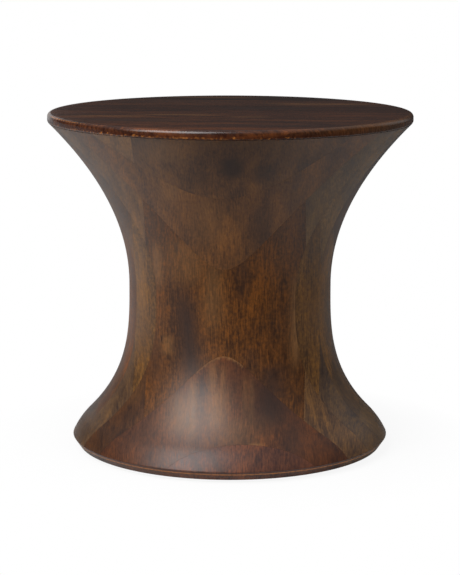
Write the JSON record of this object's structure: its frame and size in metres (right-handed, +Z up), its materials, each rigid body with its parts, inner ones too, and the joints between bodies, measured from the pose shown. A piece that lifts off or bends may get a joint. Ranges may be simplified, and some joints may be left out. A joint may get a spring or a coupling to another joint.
{
  "type": "round wooden stool",
  "caption": "Round drum stool with a turned hourglass body of face-glued upright planks, a thin flat seat disc of edge-glued boards and felt pads under the foot.",
  "frame": {"origin": "on the floor under the stool's axis, at the underside of the felt pads", "axes": "+Z up along the turning axis; -Y is the front, +X the viewer's right; seat boards run along X"},
  "size_m": [0.483, 0.4826, 0.45],
  "materials": {
    "body_wood": "walnut stain under satin lacquer",
    "golden_wood": "walnut stain under satin lacquer",
    "dark_wood": "walnut stain under satin lacquer",
    "seat_wood": "dark walnut stain under satin lacquer",
    "felt": "pressed felt"
  },
  "bodies": {
    "root": {"front_face_board": "body_wood", "front_inner_board": "body_wood", "back_face_board": "body_wood", "back_inner_board": "body_wood", "left_inner_cheek": "body_wood", "left_outer_cheek": "body_wood", "right_inner_cheek": "body_wood", "right_outer_cheek": "body_wood", "upper_front_inner_block": "body_wood", "upper_front_outer_block": "dark_wood", "upper_front_corner_block": "body_wood", "upper_back_inner_block": "body_wood", "upper_back_outer_block": "dark_wood", "upper_back_corner_block": "body_wood", "upper_front_left_face_block": "golden_wood", "upper_front_left_quarter_block": "body_wood", "upper_front_right_face_block": "golden_wood", "upper_front_right_quarter_block": "body_wood", "upper_back_left_face_block": "golden_wood", "upper_back_left_quarter_block": "body_wood", "upper_back_right_face_block": "golden_wood", "upper_back_right_quarter_block": "body_wood", "upper_left_inner_block": "body_wood", "upper_left_outer_block": "dark_wood", "upper_right_inner_block": "body_wood", "upper_right_outer_block": "dark_wood", "lower_front_inner_block": "body_wood", "lower_front_outer_block": "dark_wood", "lower_back_inner_block": "body_wood", "lower_back_outer_block": "dark_wood", "lower_front_left_face_block": "golden_wood", "lower_front_left_quarter_block": "body_wood", "lower_front_right_face_block": "golden_wood", "lower_front_right_quarter_block": "body_wood", "lower_back_left_face_block": "golden_wood", "lower_back_left_quarter_block": "body_wood", "lower_back_right_face_block": "golden_wood", "lower_back_right_quarter_block": "body_wood", "lower_left_inner_block": "body_wood", "lower_left_outer_block": "dark_wood", "lower_right_inner_block": "body_wood", "lower_right_outer_block": "dark_wood", "seat_board_1": "seat_wood", "seat_board_2": "seat_wood", "seat_board_3": "seat_wood", "seat_board_4": "seat_wood", "seat_board_5": "seat_wood", "seat_board_6": "seat_wood", "felt_pad_1": "felt", "felt_pad_2": "felt", "felt_pad_3": "felt", "felt_pad_4": "felt"}
  },
  "joints": []
}
